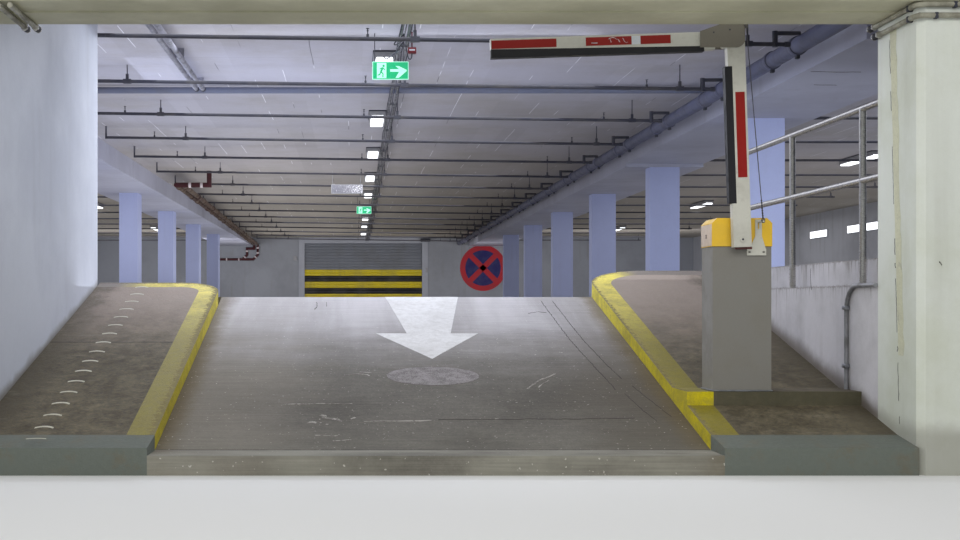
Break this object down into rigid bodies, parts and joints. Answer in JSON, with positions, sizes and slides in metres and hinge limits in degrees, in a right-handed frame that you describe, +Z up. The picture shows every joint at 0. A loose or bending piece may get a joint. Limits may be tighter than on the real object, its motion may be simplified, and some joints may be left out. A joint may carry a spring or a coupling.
{
  "type": "underground car park",
  "caption": "Concrete underground car park with an entrance ramp, a portal, a folding-arm barrier and a columned hall.",
  "frame": {"origin": "middle of the base, on the lowest ground, which is the lane in front of the portal", "axes": "+X to the right and +Y inwards for someone who drives in, +Z up"},
  "size_m": [21.7, 38.278, 3.4],
  "materials": {
    "arm_white": "off-white powder coat",
    "cabinet_grey": "powder coat",
    "cap_yellow": "gloss yellow paint",
    "ceiling_concrete": "board-marked painted concrete",
    "column_white": "painted concrete",
    "floor_concrete": "worn grey-brown concrete",
    "galvanised": "galvanised steel",
    "kerb_yellow": "worn yellow paint on concrete",
    "lamp_cover": "lit diffuser",
    "pipe_blue": "blue-grey paint",
    "pipe_brown": "red-brown paint and wrap",
    "pipe_grey": "dark grey paint",
    "plate_beige": "grey-beige paint",
    "portal_cream": "painted concrete, greenish cream",
    "rubber_black": "black rubber profile",
    "shutter_grey": "painted steel slats",
    "sign_white": "lit white sign",
    "stainless": "brushed stainless steel",
    "wall_white": "painted concrete, cool white"
  },
  "bodies": {
    "building": {"floor_slab": "floor_concrete", "left_floor_plate": "floor_concrete", "right_floor_plate": "floor_concrete", "ramp_fill": "floor_concrete", "ramp_slab": "floor_concrete", "left_walk": "floor_concrete", "right_walk": "floor_concrete", "left_kerb": "kerb_yellow", "right_kerb": "kerb_yellow", "left_ramp_wall": "wall_white", "right_low_wall": "wall_white", "left_pier": "portal_cream", "right_pier": "portal_cream", "portal_beam": "portal_cream", "front_drop_beam": "ceiling_concrete", "left_wall": "wall_white", "right_wall": "wall_white", "front_wall_left": "wall_white", "front_wall_right": "wall_white", "rear_wall": "wall_white", "roof_slab": "ceiling_concrete", "left_band_beam": "column_white", "right_band_beam": "column_white", "left_columns": "column_white", "right_columns": "column_white", "shutter_curtain": "shutter_grey", "shutter_surround": "wall_white", "railing": "stainless", "barrier_cabinet": "cabinet_grey", "cabinet_cap": "cap_yellow", "pivot_shaft": "rubber_black", "wire_anchor": "arm_white", "sprinkler_branches": "pipe_grey", "sprinkler_main": "pipe_blue", "cross_pipe": "pipe_blue", "fire_main": "pipe_brown", "light_fittings": "lamp_cover", "lit_signs": "sign_white", "conduits": "galvanised"},
    "boom_arm": {"boom_arm": "arm_white", "arm_rubber": "rubber_black"},
    "boom_tip": {"boom_tip": "arm_white", "tip_rubber": "rubber_black", "elbow_plates": "plate_beige"},
    "tie_wire": {"tie_wire": "stainless"}
  },
  "joints": [
    {"name": "boom_lift", "type": "hinge", "parent": "building", "child": "boom_arm", "pos_m": [1.168, -18.42, 1.23151], "axis": [0, -1, 0], "range_deg": [0, 88]},
    {"name": "boom_fold", "type": "hinge", "parent": "boom_arm", "child": "boom_tip", "pos_m": [1.07239, -18.42, 2.32434], "axis": [0, -1, 0], "range_deg": [-88, 0]},
    {"name": "wire_swing", "type": "hinge", "parent": "building", "child": "tie_wire", "pos_m": [1.277, -18.42, 1.33152], "axis": [0, -1, 0], "range_deg": [0, 88]}
  ],
  "couplings": [
    {"joint": "boom_fold", "follows": "boom_lift", "ratio": -1},
    {"joint": "wire_swing", "follows": "boom_lift", "ratio": 1}
  ]
}
